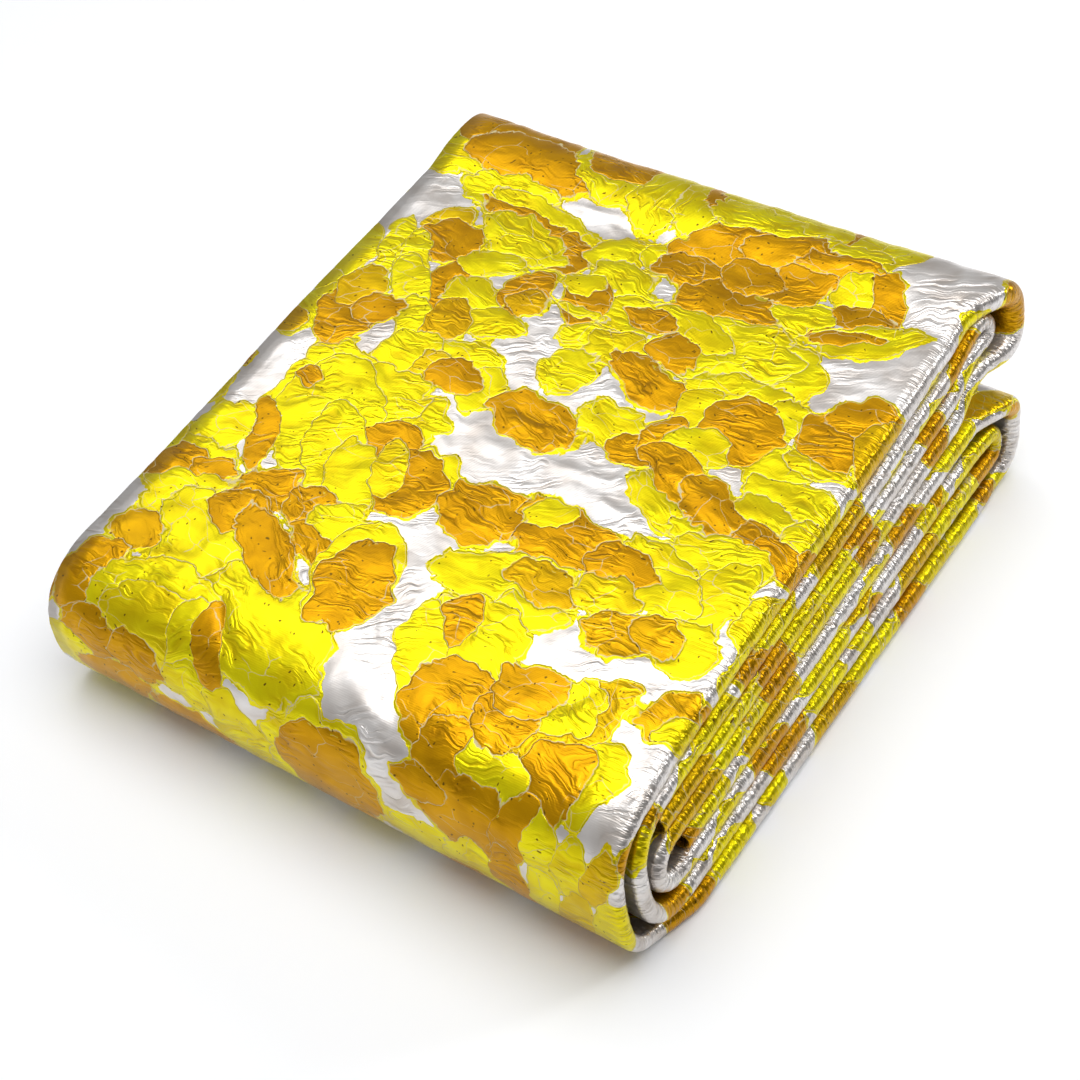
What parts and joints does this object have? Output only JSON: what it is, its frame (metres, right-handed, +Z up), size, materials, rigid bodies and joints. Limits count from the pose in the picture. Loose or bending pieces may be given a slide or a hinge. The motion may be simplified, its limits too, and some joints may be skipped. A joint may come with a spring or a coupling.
{
  "type": "folded brocade fabric",
  "caption": "Length of padded floral satin brocade folded once across its width and then back and forth into a soft stack with rounded folds on one side.",
  "frame": {"origin": "middle of the footprint, at the level of the surface it rests on", "axes": "+Z up; +Y along the bands, from the single outer fold to the two bundles of folds at the back; +X towards the side with the cloth's rounded middle fold, the selvedges being at -X"},
  "size_m": [0.3551, 0.4142, 0.1342],
  "materials": {
    "brocade": "lustrous padded satin brocade, lemon and amber flowers with silver outlines on a silver-white ground"
  },
  "bodies": {
    "root": {"brocade_cloth": "brocade"}
  },
  "joints": []
}
